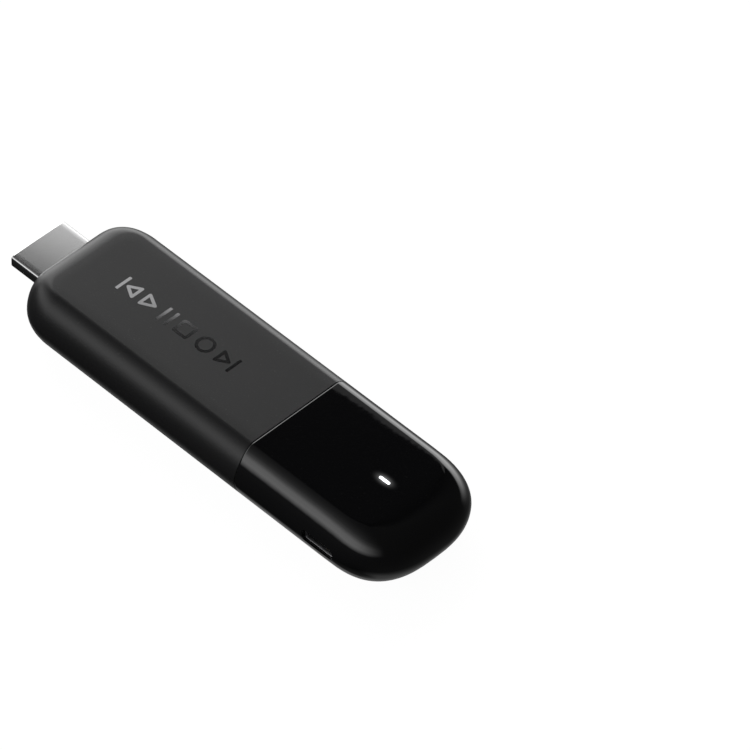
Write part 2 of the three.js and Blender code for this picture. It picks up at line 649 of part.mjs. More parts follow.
// shield over the processor and memory, with pads and spreaders on both sides
add('shield_frame', geometryOf(makeShieldFrame()), 'steel');
add('shield_lid', geometryOf(makeShieldLid()), 'steel');
const chipTopZ = boardTopZ + SOLDER + PROCESSOR.size[2] + SOLDER;
const processorX = boardFrontX - PROCESSOR.fromFront;
add('processor_pad', blockGeometry(
  [processorX - CHIP_PAD.length / 2, processorX + CHIP_PAD.length / 2],
  [-CHIP_PAD.width / 2, CHIP_PAD.width / 2],
  [chipTopZ, shieldTopZ - SHIELD.sheet - SOLDER],
), 'pad');
const shieldMidX = (shieldX[0] + shieldX[1]) / 2;
add('front_pad', blockGeometry(
  [shieldMidX - FRONT_PAD.length / 2, shieldMidX + FRONT_PAD.length / 2],
  [-FRONT_PAD.width / 2, FRONT_PAD.width / 2],
  [shieldTopZ + SOLDER, spreaderFaceZ.front - SPREADER.sheet - SOLDER],
), 'pad');
add('front_spreader', geometryOf(makeSpreader('front')), 'aluminium');

// back of the board
const back = new THREE.Group();
back.position.z = boardBottomZ;
player.add(back);
const flashX = boardFrontX - FLASH.fromFront;
boxOn(back, 'flash_chip', FLASH.size, 'chip', flashX, FLASH.y, -1);
add('back_pad', blockGeometry(
  [flashX - BACK_PAD.length / 2, flashX + BACK_PAD.length / 2],
  [-BACK_PAD.width / 2, BACK_PAD.width / 2],
  [spreaderFaceZ.back + SPREADER.sheet + SOLDER, boardBottomZ - FLASH.size[2] - 2 * SOLDER],
), 'pad');
add('back_spreader', geometryOf(makeSpreader('back')), 'aluminium');

// antennas, stood on the board inside the cap, where the case is clear of metal
const antennaReach = ANTENNA.width / 2 + PIECE_GAP;
const antennaZ = boardTopZ + SOLDER;
const tipPlace = [boardRearX + ANTENNA_FROM_REAR + antennaReach, 0, antennaZ];
const sidePlace = [boardRearX + WIFI_MODULE.fromRear, -boardWidth / 2 + antennaReach, antennaZ];
add('tip_antenna', antennaGeometry(), 'steel', player, tipPlace);
const sideAntenna = add('side_antenna', antennaGeometry(), 'steel', player, sidePlace);
sideAntenna.rotation.z = Math.PI / 2;

export default player;
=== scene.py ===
# A streaming media player: a stick with a video plug at one end, a matte sleeve over most of its
# length, a gloss end cap with a status light and a power socket, and a small board inside.
# Metres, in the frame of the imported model: +X runs to the plug's mouth, +Y to the power socket's
# side and +Z out of the front face. Meshes are drawn in millimetres and scaled as they are made.

import math

import bmesh
import bpy
from mathutils import Matrix, Vector


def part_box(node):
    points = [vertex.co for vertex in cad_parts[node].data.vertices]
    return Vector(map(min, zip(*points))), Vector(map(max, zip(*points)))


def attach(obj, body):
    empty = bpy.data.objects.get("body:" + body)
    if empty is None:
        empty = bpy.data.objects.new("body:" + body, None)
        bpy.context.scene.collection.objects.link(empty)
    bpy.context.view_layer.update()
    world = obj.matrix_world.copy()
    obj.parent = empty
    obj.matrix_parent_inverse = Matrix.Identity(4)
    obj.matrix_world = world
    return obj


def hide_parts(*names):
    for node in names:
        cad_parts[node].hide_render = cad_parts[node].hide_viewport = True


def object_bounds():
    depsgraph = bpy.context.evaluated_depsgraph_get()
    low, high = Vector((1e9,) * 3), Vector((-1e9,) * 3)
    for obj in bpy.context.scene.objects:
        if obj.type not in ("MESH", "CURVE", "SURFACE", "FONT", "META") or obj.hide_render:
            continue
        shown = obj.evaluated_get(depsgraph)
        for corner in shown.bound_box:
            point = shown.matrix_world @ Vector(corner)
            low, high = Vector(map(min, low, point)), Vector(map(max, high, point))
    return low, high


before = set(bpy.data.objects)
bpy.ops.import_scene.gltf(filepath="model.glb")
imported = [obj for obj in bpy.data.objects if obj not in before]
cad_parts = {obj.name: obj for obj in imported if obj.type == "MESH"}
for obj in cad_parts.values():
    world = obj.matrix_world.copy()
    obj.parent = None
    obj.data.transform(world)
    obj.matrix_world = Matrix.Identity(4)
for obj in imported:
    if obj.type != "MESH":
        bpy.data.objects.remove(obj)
cad_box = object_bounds()
MM = 0.001


# ---------------------------------------------------------------- camera
# A long lens over the tip's power socket side looks down at the front face, turned a little
# clockwise, so that the stick lies in a diagonal with its plug at the far end.

AZIMUTH = math.radians(-136.6718)
ELEVATION = math.radians(46.8085)
ROLL = math.radians(2.1995)
AIM = Vector((-0.016798, -0.020121, 0.00997))
DISTANCE = 1.17625
LENS = 303.84

back = Vector((
    math.sin(AZIMUTH) * math.cos(ELEVATION),
    -math.cos(AZIMUTH) * math.cos(ELEVATION),
    math.sin(ELEVATION),
))
level_right = (-back).cross(Vector((0, 0, 1))).normalized()
level_up = level_right.cross(-back)
right = level_right * math.cos(ROLL) + level_up * math.sin(ROLL)
up = level_up * math.cos(ROLL) - level_right * math.sin(ROLL)

camera = bpy.data.objects.new("camera", bpy.data.cameras.new("camera"))
bpy.context.collection.objects.link(camera)
camera.matrix_world = (
    Matrix.Translation(AIM + back * DISTANCE) @ Matrix((right, up, back)).transposed().to_4x4()
)
camera.data.lens = LENS
camera.data.sensor_width = 36
camera.data.clip_start = 0.01
camera.data.clip_end = 50
bpy.context.scene.camera = camera


# ---------------------------------------------------------------- studio
# A white sweep under the stick, with a long soft light low on each side of it, dark above, and one
# overhead softbox beyond the plug end. The sweep shows to the camera and lets light from below by.

# radiance by elevation in degrees: all round the room, and in the soft light on each side
BRIGHTEST = 5.0
REST = [(-90, 0.28), (-72, 0.34), (-60, 0.16), (-52, 0.06), (0, 0.05), (90, 0.06)]
DARK_RADIANCE = 0.012
PALE_LIGHT = [(-90, 0.2), (-78, 0.05), (-60, 0.012), (-12, 0.05), (2, 0.08), (7, 1.3), (12, 2.3),
              (22, 2.1), (31, 0.85), (40, 0.36), (50, 0.2), (60, 0.12), (75, 0.07), (90, 0.06)]
STRONG_LIGHT = [(-90, 0.3), (-52, 0.26), (-42, 0.14), (-30, 0.09), (-20, 0.28), (-12, 1.1), (-4, 2.7),
                (6, 3.2), (90, 3.2)]
# where each light fades in and out round the stick, in degrees from the plug's direction
PALE_SPAN = [(-8, 18), (148, 84)]
STRONG_SPAN = [(-120, -72), (8, -20)]
# the strong light's top slopes down round the tip: a fade across planes square to this direction
STRONG_TOP_TILT = (-0.52, -0.30, 1.0)
STRONG_TOP = (0.61, 0.45)

world = bpy.data.worlds.new("studio")
bpy.context.scene.world = world
world.use_nodes = True
sky = world.node_tree
sky.nodes.clear()


def join(tree, *links):
    for start, end in links:
        tree.links.new(start, end)


def math_node(tree, operation, a, b):
    node = tree.nodes.new("ShaderNodeMath")
    node.operation = operation
    for value, socket in ((a, node.inputs[0]), (b, node.inputs[1])):
        if isinstance(value, (int, float)):
            socket.default_value = value
        else:
            tree.links.new(value, socket)
    return node.outputs[0]


def ramp_node(tree, height, levels):
    """Light by elevation: a list of (degrees, radiance)."""
    ramp = tree.nodes.new("ShaderNodeValToRGB")
    elements = ramp.color_ramp.elements
    while len(elements) < len(levels):
        elements.new(0.5)
    for element, (degrees, radiance) in zip(elements, levels):
        element.position = (math.sin(math.radians(degrees)) + 1) / 2
        element.color = (*[radiance / BRIGHTEST] * 3, 1)
    tree.links.new(height, ramp.inputs[0])
    return ramp.outputs[0]


def fade_node(tree, value, low, high, shape="SMOOTHSTEP"):
    """The value's place between low and high, from 0 to 1."""
    node = tree.nodes.new("ShaderNodeMapRange")
    node.interpolation_type = shape
    node.inputs["From Min"].default_value = low
    node.inputs["From Max"].default_value = high
    tree.links.new(value, node.inputs["Value"])
    return node.outputs["Result"]


def blend_node(tree, share, a, b):
    node = tree.nodes.new("ShaderNodeMix")
    node.data_type = "RGBA"
    for value, socket in ((share, node.inputs[0]), (a, node.inputs[6]), (b, node.inputs[7])):
        if isinstance(value, (int, float, tuple)):
            socket.default_value = value
        else:
            tree.links.new(value, socket)
    return node.outputs[2]


direction = sky.nodes.new("ShaderNodeTexCoord").outputs["Generated"]
split = sky.nodes.new("ShaderNodeSeparateXYZ")
join(sky, (direction, split.inputs[0]))
height = fade_node(sky, split.outputs["Z"], -1, 1, "LINEAR")
bearing = math_node(sky, "ARCTAN2", split.outputs["Y"], split.outputs["X"])


def within(span):
    """A mask over the bearings between two fades."""
    fades = [fade_node(sky, bearing, math.radians(low), math.radians(high)) for low, high in span]
    return math_node(sky, "MULTIPLY", *fades)


lit = blend_node(sky, within(PALE_SPAN),
                 ramp_node(sky, height, REST), ramp_node(sky, height, PALE_LIGHT))
tilted = sky.nodes.new("ShaderNodeVectorMath")
tilted.operation = "DOT_PRODUCT"
tilted.inputs[1].default_value = STRONG_TOP_TILT
join(sky, (direction, tilted.inputs[0]))
under_top = fade_node(sky, tilted.outputs["Value"], *STRONG_TOP)
dark = (*[DARK_RADIANCE / BRIGHTEST] * 3, 1)
strong = blend_node(sky, under_top, dark, ramp_node(sky, height, STRONG_LIGHT))
lit = blend_node(sky, within(STRONG_SPAN), lit, strong)

BACKDROP_GREY = 0.93
studio_light = sky.nodes.new("ShaderNodeBackground")
studio_light.inputs["Strength"].default_value = BRIGHTEST
backdrop = sky.nodes.new("ShaderNodeBackground")
backdrop.inputs["Color"].default_value = (*[BACKDROP_GREY] * 3, 1)
seen = sky.nodes.new("ShaderNodeLightPath").outputs["Is Camera Ray"]
sky_mix = sky.nodes.new("ShaderNodeMixShader")
sky_out = sky.nodes.new("ShaderNodeOutputWorld")
join(sky, (lit, studio_light.inputs["Color"]), (seen, sky_mix.inputs[0]),
     (studio_light.outputs[0], sky_mix.inputs[1]), (backdrop.outputs[0], sky_mix.inputs[2]),
     (sky_mix.outputs[0], sky_out.inputs["Surface"]))

# the overhead softbox: its near edge is mirrored in the middle of the front face's row of symbols
SOFTBOX_EDGE = Vector((0.4320, -0.3976, 0.614))
SOFTBOX_ALONG = Vector((-1.41, -1.0, 0)).normalized()
SOFTBOX_SIZE = (0.9, 0.5)
SOFTBOX_RADIANCE = 0.29

softbox = bpy.data.objects.new("overhead_softbox", bpy.data.lights.new("overhead_softbox", "AREA"))
bpy.context.collection.objects.link(softbox)
outward = Vector((0, 0, 1)).cross(SOFTBOX_ALONG)
softbox.matrix_world = (
    Matrix.Translation(SOFTBOX_EDGE + outward * SOFTBOX_SIZE[1] / 2)
    @ Matrix((SOFTBOX_ALONG, outward, Vector((0, 0, 1)))).transposed().to_4x4()
)
softbox.data.shape = "RECTANGLE"
softbox.data.size, softbox.data.size_y = SOFTBOX_SIZE
# the power that gives a lamp of this area its radiance
softbox.data.energy = 4 * SOFTBOX_SIZE[0] * SOFTBOX_SIZE[1] * SOFTBOX_RADIANCE

# the sweep lies a hair under the stick, and glows so that it stays white
SWEEP_REACH = 3.0
SWEEP_DROP = 0.00002
PAPER_GLOW = 0.97
PAPER_SHADE = 0.1


def oblong(half_u, half_v, u=0.0, v=0.0):
    """The corners of a rectangle about (u, v), anticlockwise."""
    return [(u + half_u * i, v + half_v * j) for i, j in ((-1, -1), (1, -1), (1, 1), (-1, 1))]


sweep_mesh = bpy.data.meshes.new("floor_sweep")
sweep_corners = [(x, y, 0) for x, y in oblong(SWEEP_REACH, SWEEP_REACH)]
sweep_mesh.from_pydata(sweep_corners, [], [(0, 1, 2, 3)])
sweep = bpy.data.objects.new("floor_sweep", sweep_mesh)
bpy.context.collection.objects.link(sweep)
sweep.location.z = cad_box[0].z - SWEEP_DROP
for ray in ("visible_diffuse", "visible_glossy", "visible_transmission", "visible_shadow"):
    setattr(sweep, ray, False)

paper = bpy.data.materials.new("white_sweep")
paper.use_nodes = True
paper_tree = paper.node_tree
paper_tree.nodes.clear()
glow = paper_tree.nodes.new("ShaderNodeEmission")
glow.inputs["Color"].default_value = (*[PAPER_GLOW] * 3, 1)
shade = paper_tree.nodes.new("ShaderNodeBsdfDiffuse")
shade.inputs["Color"].default_value = (*[PAPER_SHADE] * 3, 1)
both = paper_tree.nodes.new("ShaderNodeAddShader")
paper_out = paper_tree.nodes.new("ShaderNodeOutputMaterial")
join(paper_tree, (glow.outputs[0], both.inputs[0]), (shade.outputs[0], both.inputs[1]),
     (both.outputs[0], paper_out.inputs["Surface"]))
sweep_mesh.materials.append(paper)

bpy.context.scene.view_settings.view_transform = "Standard"


# ---------------------------------------------------------------- matte sleeve
# The long part of the case: a moulded tube of dark grey plastic with a fine spark-eroded texture,
# closed at the plug end by one wall with the plug's opening in it. The board slides in from the seam.

sleeve_low, sleeve_high = (Vector(corner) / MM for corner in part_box("matte_sleeve"))
cap_low, cap_high = (Vector(corner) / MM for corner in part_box("gloss_end_cap"))
TIP_X = cap_low.x
PLUG_END_X = sleeve_high.x
HALF_WIDTH = sleeve_high.y
CASE_TOP = sleeve_high.z
MID_Z = CASE_TOP / 2
PACKED_SEAM_GAP = 0.3
SEAM_X = sleeve_low.x - PACKED_SEAM_GAP / 2
SEAM_GAP = 0.07
WALL = 1.6
LIP = 0.12

# corner sizes of the outline, and how the edge rounds over on the sides and at each end
PLUG_CORNER = {"along": 9.4, "across": 8.8, "power": 2.13}
TIP_CORNER = {"along": 15.0, "across": HALF_WIDTH, "power": 2.66}
SIDE_EDGE = {"depth": 4.8, "power": 1.6}
PLUG_EDGE = {"depth": 5.5, "power": 2.26}
TIP_EDGE = {"depth": 8.2, "power": 2.2}

CORNER_STEPS = 26
EDGE_STEPS = 15
STRAIGHT_STEP = 4.0
# each flat has a border drawn in towards a spine along its middle, and strips near the seam's lip,
# so that the rounded edges don't shade the whole flat
LIP_COLUMNS = 3
FLAT_BORDER = 2.3
SPINE_FROM_TIP = 24.0
SPINE_FROM_PLUG_END = 16.0
FOIL_THICKNESS = 0.02
MERGE_DISTANCE = 0.0005
CREASE = 35
SMALLEST_RADIUS = 0.02
UPRIGHT = math.radians(89.99)


def quarter(angle, first, second, power):
    """The point of a superellipse quarter whose surface normal stands at that angle."""
    if angle > UPRIGHT:
        return 0.0, second
    turn = math.atan((math.tan(angle) * second / first) ** (1 / (2 - 2 / power)))
    return first * math.cos(turn) ** (2 / power), second * math.sin(turn) ** (2 / power)


def case_end(end_x, start_x, corner, inset, lip):
    """Points round one end of the case, from the seam on the -Y side to the seam on the +Y side.
    Each is (x, y, normal x, normal y, inset); a lip rounds the edge where the half starts."""
    towards = 1 if end_x > start_x else -1
    along, across = corner["along"] - inset, corner["across"] - inset
    corner_x = end_x - towards * corner["along"]
    side_y = HALF_WIDTH - inset
    half = []
    for degrees in (0, 45, 90) if lip else (90,):
        turn = math.radians(degrees)
        drop = lip * (1 - math.sin(turn))
        lip_x = start_x + towards * lip * (1 - math.cos(turn))
        half.append((lip_x, side_y - drop, 0, 1, inset + drop))
    if lip:
        half.append((half[-1][0] + towards * lip, side_y, 0, 1, inset))
    steps = math.ceil(abs(corner_x - start_x) / STRAIGHT_STEP)
    first_x = half[-1][0]
    for i in range(1, steps):
        half.append((first_x + (corner_x - first_x) * i / steps, side_y, 0, 1, inset))
    for i in range(CORNER_STEPS + 1):
        angle = math.pi / 2 * (1 - i / CORNER_STEPS)
        x, y = quarter(angle, along, across, corner["power"])
        half.append((corner_x + towards * x, side_y - across + y,
                     towards * math.cos(angle), math.sin(angle), inset))
    other = [(x, -y, nx, -ny, own) for x, y, nx, ny, own in half]
    return other + half[::-1]


def profile(x, y, nx, ny, inset):
    """The wall's section at one outline point, from the front face's flat round to the back's."""
    end = PLUG_EDGE if nx > 0 else TIP_EDGE
    depth = SIDE_EDGE["depth"] + (end["depth"] - SIDE_EDGE["depth"]) * nx * nx - inset
    power = SIDE_EDGE["power"] + (end["power"] - SIDE_EDGE["power"]) * nx * nx
    half_height = MID_Z - inset
    rows = []
    for i in range(EDGE_STEPS + 1):
        across, rise = quarter(math.pi / 2 * (1 - i / EDGE_STEPS), depth, half_height, power)
        rows.append((depth - across, rise))
    rows += [(inward, -rise) for inward, rise in rows[-2::-1]]
    points = [Vector((x - nx * inward, y - ny * inward, MID_Z + rise)) for inward, rise in rows]
    spine_x = min(max(x, TIP_X + SPINE_FROM_TIP), PLUG_END_X - SPINE_FROM_PLUG_END)
    borders = []
    for edge in (points[0], points[-1]):
        borders.append(edge + (Vector((spine_x, 0, edge.z)) - edge).normalized() * FLAT_BORDER)
    return [borders[0], *points, borders[1]]


def section_ring(x, inset):
    """The case's straight cross section at x, as one closed ring of points."""
    near = profile(x, -(HALF_WIDTH - inset), 0, -1, inset)
    far = profile(x, HALF_WIDTH - inset, 0, 1, inset)
    return near + far[::-1]


def add_form(bm, outline):
    """One skin of a case half. Returns the ring of its open edge at the seam."""
    columns = [[bm.verts.new(point) for point in profile(*entry)] for entry in outline]
    for left, beside in zip(columns, columns[1:]):
        for row in range(len(left) - 1):
            bm.faces.new((left[row], left[row + 1], beside[row + 1], beside[row]))
    last = len(columns) - 1
    for row in (0, -1):
        for i in range(LIP_COLUMNS):
            bm.faces.new((columns[i][row], columns[i + 1][row],
                          columns[last - i - 1][row], columns[last - i][row]))
        bm.faces.new([column[row] for column in columns[LIP_COLUMNS:last - LIP_COLUMNS + 1]])
    return columns[0] + columns[-1][::-1]


def bridge(bm, first, second):
    """A band of faces between two rings with the same number of points."""
    for i in range(len(first)):
        j = (i + 1) % len(first)
        bm.faces.new((first[i], first[j], second[j], second[i]))


def loft(bm, rings, closed=False):
    """Bands through a list of rings of points. Closed joins the last ring to the first."""
    made = [[bm.verts.new(point) for point in ring] for ring in rings]
    for first, second in zip(made, made[1:]):
        bridge(bm, first, second)
    if closed:
        bridge(bm, made[-1], made[0])
    return made


def piece_of(bm, name, crease=CREASE):
    """An object in metres from a bmesh drawn in millimetres."""
    bmesh.ops.remove_doubles(bm, verts=bm.verts, dist=MERGE_DISTANCE)
    bmesh.ops.recalc_face_normals(bm, faces=bm.faces)
    mesh = bpy.data.meshes.new(name)
    bm.to_mesh(mesh)
    bm.free()
    piece = bpy.data.objects.new(name, mesh)
    bpy.context.collection.objects.link(piece)
    smooth(mesh, crease)
    return piece


def smooth(mesh, crease):
    """Smooth shading, with a crease wherever the faces turn by more than that many degrees."""
    for polygon in mesh.polygons:
        polygon.use_smooth = True
    mesh.set_sharp_from_angle(angle=math.radians(crease))


def cut(piece, cutter):
    """Takes the cutter's solid out of the piece, and throws the cutter away."""
    modifier = piece.modifiers.new("cut", "BOOLEAN")
    modifier.operation = "DIFFERENCE"
    modifier.solver = "EXACT"
    modifier.object = cutter
    graph = bpy.context.evaluated_depsgraph_get()
    made = bpy.data.meshes.new_from_object(piece.evaluated_get(graph))
    piece.modifiers.clear()
    piece.data = made
    smooth(made, CREASE)
    bpy.data.objects.remove(cutter)


def settle(piece, material, slot, *nodes):
    """Scales a finished piece to metres, gives it its finish, and seats it on the body."""
    piece.data.transform(Matrix.Scale(MM, 4))
    piece.data.materials.clear()
    piece.data.materials.append(material)
    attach(piece, "root")
    if nodes:
        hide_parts(*nodes)


def rounded_loop(corners, radii, steps, inset=0.0):
    """An anticlockwise outline with every corner rounded, drawn in by an inset."""
    loop = []
    count = len(corners)
    moved, turns = [], []
    for i in range(count):
        before, here, after = (Vector(corners[(i + k) % count]) for k in (-1, 0, 1))
        into, out = (here - before).normalized(), (after - here).normalized()
        normal_in, normal_out = Vector((-into.y, into.x)), Vector((-out.y, out.x))
        moved.append(here + (normal_in + normal_out) * inset / (1 + normal_in.dot(normal_out)))
        turns.append(math.atan2(into.x * out.y - into.y * out.x, into.dot(out)))
    for i in range(count):
        before, here, after = (moved[(i + k) % count] for k in (-1, 0, 1))
        into, out = (here - before).normalized(), (after - here).normalized()
        bend = 1 if turns[i] > 0 else -1
        radius = max(radii[i] - bend * inset, SMALLEST_RADIUS)
        start = here - into * radius * math.tan(abs(turns[i]) / 2)
        centre = start + Vector((-into.y, into.x)) * radius * bend
        arm = start - centre
        for k in range(steps + 1):
            angle = turns[i] * k / steps
            loop.append(centre + Matrix.Rotation(angle, 2) @ arm)
    return loop


# the plug's D section, as (y, z) about its middle, wide side up
plug_low, plug_high = (Vector(corner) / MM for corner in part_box("plug_shell"))
PLUG_MID_Z = (plug_low.z + plug_high.z) / 2
PLUG_HALF_WIDTH = plug_high.y
PLUG_HALF_HEIGHT = (plug_high.z - plug_low.z) / 2
PLUG_FIT = 0.12
PLUG_WALL_END = PLUG_HALF_HEIGHT - 2.57
PLUG_SHOULDER = (6.15, PLUG_HALF_HEIGHT - 3.17)
PLUG_NARROW_HALF = 4.98
PLUG_CORNERS = [
    (PLUG_HALF_WIDTH, PLUG_HALF_HEIGHT), (-PLUG_HALF_WIDTH, PLUG_HALF_HEIGHT),
    (-PLUG_HALF_WIDTH, PLUG_WALL_END), (-PLUG_SHOULDER[0], PLUG_SHOULDER[1]),
    (-PLUG_NARROW_HALF, -PLUG_HALF_HEIGHT), (PLUG_NARROW_HALF, -PLUG_HALF_HEIGHT),
    PLUG_SHOULDER, (PLUG_HALF_WIDTH, PLUG_WALL_END),
]
PLUG_BENDS = [0.75, 0.75, 0.6, 1.2, 0.8, 0.8, 1.2, 0.6]
BEND_STEPS = 6
PLUG_CROWN = 0.12
CROWN_STEPS = 14


def plug_ring(x, inset):
    """The plug's rounded section at x, drawn in by an inset, with its wide side slightly crowned."""
    loop = rounded_loop(PLUG_CORNERS, PLUG_BENDS, BEND_STEPS, inset)
    start, end = loop[BEND_STEPS], loop[BEND_STEPS + 1]
    crown = [start.lerp(end, i / CROWN_STEPS) for i in range(1, CROWN_STEPS)]
    ring = []
    for p in loop[:BEND_STEPS + 1] + crown + loop[BEND_STEPS + 1:]:
        drop = PLUG_CROWN * (p.x / PLUG_HALF_WIDTH) ** 2 * max(p.y, 0) / PLUG_HALF_HEIGHT
        ring.append((x, p.x, PLUG_MID_Z + p.y - drop))
    return ring


def capped(bm, rings):
    """A loft closed at both ends by flat faces."""
    made = loft(bm, rings)
    bm.faces.new(made[0][::-1])
    bm.faces.new(made[-1])


def seam_walls(bm, outer_rim, chain, inner_rim):
    """Closes a case half between its two skins, through a chain of (x, inset) rings."""
    rings = [outer_rim]
    rings += [[bm.verts.new(point) for point in section_ring(x, inset)] for x, inset in chain]
    rings.append(inner_rim)
    for first, second in zip(rings, rings[1:]):
        bridge(bm, first, second)


bm = bmesh.new()
start_x = SEAM_X + SEAM_GAP / 2
outer_rim = add_form(bm, case_end(PLUG_END_X, start_x, PLUG_CORNER, 0, LIP))
inner_rim = add_form(bm, case_end(PLUG_END_X, start_x, PLUG_CORNER, WALL, 0))
seam_walls(bm, outer_rim, [], inner_rim)
for vert in bm.verts:
    # the front face lies a foil's thickness low, so that the symbols finish level with the case
    if vert.co.z > MID_Z:
        vert.co.z = MID_Z + (vert.co.z - MID_Z) * (1 - FOIL_THICKNESS / MID_Z)
sleeve = piece_of(bm, "sleeve")

OPENING_REACH = (-12, 5)
bm = bmesh.new()
capped(bm, [plug_ring(PLUG_END_X + reach, -PLUG_FIT) for reach in OPENING_REACH])
cut(sleeve, piece_of(bm, "plug_opening"))


def group_of(name, inputs, outputs):
    """An empty shader node group with named inputs (name: default) and outputs."""
    group = bpy.data.node_groups.new(name, "ShaderNodeTree")
    for label, value in inputs.items():
        socket = group.interface.new_socket(name=label, in_out="INPUT", socket_type="NodeSocketFloat")
        socket.default_value = value
    for label in outputs:
        group.interface.new_socket(name=label, in_out="OUTPUT", socket_type="NodeSocketFloat")
    return group, group.nodes.new("NodeGroupInput").outputs, group.nodes.new("NodeGroupOutput").inputs


def noise_node(tree, scale, detail):
    """Noise over the piece itself; scale is in bumps to the metre, a number or a socket."""
    noise = tree.nodes.new("ShaderNodeTexNoise")
    noise.inputs["Detail"].default_value = detail
    place = tree.nodes.new("ShaderNodeTexCoord").outputs["Object"]
    tree.links.new(place, noise.inputs["Vector"])
    if isinstance(scale, (int, float)):
        noise.inputs["Scale"].default_value = scale
    else:
        tree.links.new(scale, noise.inputs["Scale"])
    return noise.outputs["Fac"]


# moulded or etched texture: a fine relief, and a gloss that wanders a little round its mean
grain, grain_in, grain_out = group_of(
    "fine_grain", {"Grain Size": 0.0002, "Depth": 1.0, "Roughness": 0.5, "Spread": 0.05},
    ("Height", "Roughness"),
)
PATCHES_PER_METRE = 60.0
bumps = noise_node(grain, math_node(grain, "DIVIDE", 1.0, grain_in["Grain Size"]), 2.0)
patches = math_node(grain, "SUBTRACT", noise_node(grain, PATCHES_PER_METRE, 3.0), 0.5)
gloss_shift = math_node(grain, "MULTIPLY", patches, grain_in["Spread"])
join(grain, (math_node(grain, "MULTIPLY", bumps, grain_in["Depth"]), grain_out["Height"]),
     (math_node(grain, "ADD", grain_in["Roughness"], gloss_shift), grain_out["Roughness"]))

# rubbed edges: a mask where the form turns out sharply, broken up by noise
wear, wear_in, wear_out = group_of("rubbed_edges", {"Amount": 0.1, "Start": 0.56}, ("Mask",))
WEAR_SLOPE = 12.0
SCUFFS_PER_METRE = 900.0
turned_out = wear.nodes.new("ShaderNodeNewGeometry").outputs["Pointiness"]
past_start = math_node(wear, "SUBTRACT", turned_out, wear_in["Start"])
over = math_node(wear, "MULTIPLY", past_start, WEAR_SLOPE)
sharp_only = fade_node(wear, over, 0.0, 1.0)
broken = math_node(wear, "MULTIPLY", sharp_only, noise_node(wear, SCUFFS_PER_METRE, 4.0))
join(wear, (math_node(wear, "MULTIPLY", broken, wear_in["Amount"]), wear_out["Mask"]))

# settled dust: sparse fine specks on what faces up
RARE_SPECKS = (0.66, 0.8)
DUST_COLOUR = (0.45, 0.44, 0.42, 1)
dust, dust_in, dust_out = group_of("settled_dust", {"Amount": 0.1, "Speck Size": 0.0004}, ("Mask",))
facing = dust.nodes.new("ShaderNodeSeparateXYZ")
dust.links.new(dust.nodes.new("ShaderNodeNewGeometry").outputs["Normal"], facing.inputs[0])
specks = noise_node(dust, math_node(dust, "DIVIDE", 1.0, dust_in["Speck Size"]), 1.0)
rare = fade_node(dust, specks, *RARE_SPECKS)
settled = math_node(dust, "MULTIPLY", rare, fade_node(dust, facing.outputs["Z"], 0.1, 1.0))
join(dust, (math_node(dust, "MULTIPLY", settled, dust_in["Amount"]), dust_out["Mask"]))


def place_group(tree, group, **values):
    node = tree.nodes.new("ShaderNodeGroup")
    node.node_tree = group
    for label, value in values.items():
        node.inputs[label.replace("_", " ")].default_value = value
    return node.outputs


def finish_of(name, colour, roughness, metallic=0.0, grain_size=0.0002, bump=0.0, spread=0.04,
              rubbed=0.1, rubbed_colour=None, dusty=0.05, **shader_values):
    """A finish for one of the stick's materials. Uniform values go straight onto the shader."""
    material = bpy.data.materials.new(name)
    material.use_nodes = True
    tree = material.node_tree
    shader = tree.nodes["Principled BSDF"]
    shader.inputs["Metallic"].default_value = metallic
    for label, value in shader_values.items():
        shader.inputs[label.replace("_", " ")].default_value = value
    texture = place_group(tree, grain, Grain_Size=grain_size, Roughness=roughness, Spread=spread)
    worn = place_group(tree, wear, Amount=rubbed)
    specked = place_group(tree, dust, Amount=dusty)
    bright = rubbed_colour or tuple(min(1.0, channel * 1.6 + 0.02) for channel in colour)
    base = blend_node(tree, worn["Mask"], (*colour, 1), (*bright, 1))
    base = blend_node(tree, specked["Mask"], base, DUST_COLOUR)
    relief = tree.nodes.new("ShaderNodeBump")
    relief.inputs["Strength"].default_value = bump
    relief.inputs["Distance"].default_value = grain_size / 4
    join(tree, (base, shader.inputs["Base Color"]),
         (texture["Roughness"], shader.inputs["Roughness"]),
         (texture["Height"], relief.inputs["Height"]), (relief.outputs[0], shader.inputs["Normal"]))
    return material


SLEEVE_GREY = (0.011, 0.011, 0.0115)
matte_plastic = finish_of("matte_sleeve_plastic", SLEEVE_GREY, 0.31, grain_size=0.00022, bump=0.25,
                          rubbed=0.05, dusty=0.03, IOR=1.37)
settle(sleeve, matte_plastic, "sleeve_plastic", "matte_sleeve")


# ---------------------------------------------------------------- front symbols
# A row of six generic playback symbols hot-stamped along the middle of the sleeve's front face in
# mirror foil. They read from the plug towards the seam, with their tops to the -Y side.

SYMBOLS_START_X = 30.1
SYMBOL_HEIGHT = 4.0
STROKE = 0.66
SYMBOL_GAP = 1.45
ARC_STEPS = 4
BAR_CORNER = 0.12
ARROW_CORNER = 0.35
STOP_CORNER = 0.5
PLAY_WIDTH = 3.8
SKIP_WIDTH = 3.4
SKIP_GAP = 0.25
PAUSE_WIDTH = 2.6
STOP_HALF = 1.9
RING_RADIUS = 2.05
FOIL_CREASE = 30
HALF_HEIGHT = SYMBOL_HEIGHT / 2
FOIL_BASE_Z = CASE_TOP - 2 * FOIL_THICKNESS
FOIL_TOP_Z = CASE_TOP - FOIL_THICKNESS / 20


def outlined(bm, corners, radius):
    """A symbol's outline as a closed band of the stroke's width. Corners run anticlockwise."""
    radii = [radius] * len(corners)
    outside = rounded_loop(corners, radii, ARC_STEPS)
    inside = rounded_loop(corners, radii, ARC_STEPS, STROKE)
    rings = [(outside, FOIL_BASE_Z), (outside, FOIL_TOP_Z),
             (inside, FOIL_TOP_Z), (inside, FOIL_BASE_Z)]
    loft(bm, [[(SYMBOLS_START_X - p.x, -p.y, z) for p in loop] for loop, z in rings], closed=True)


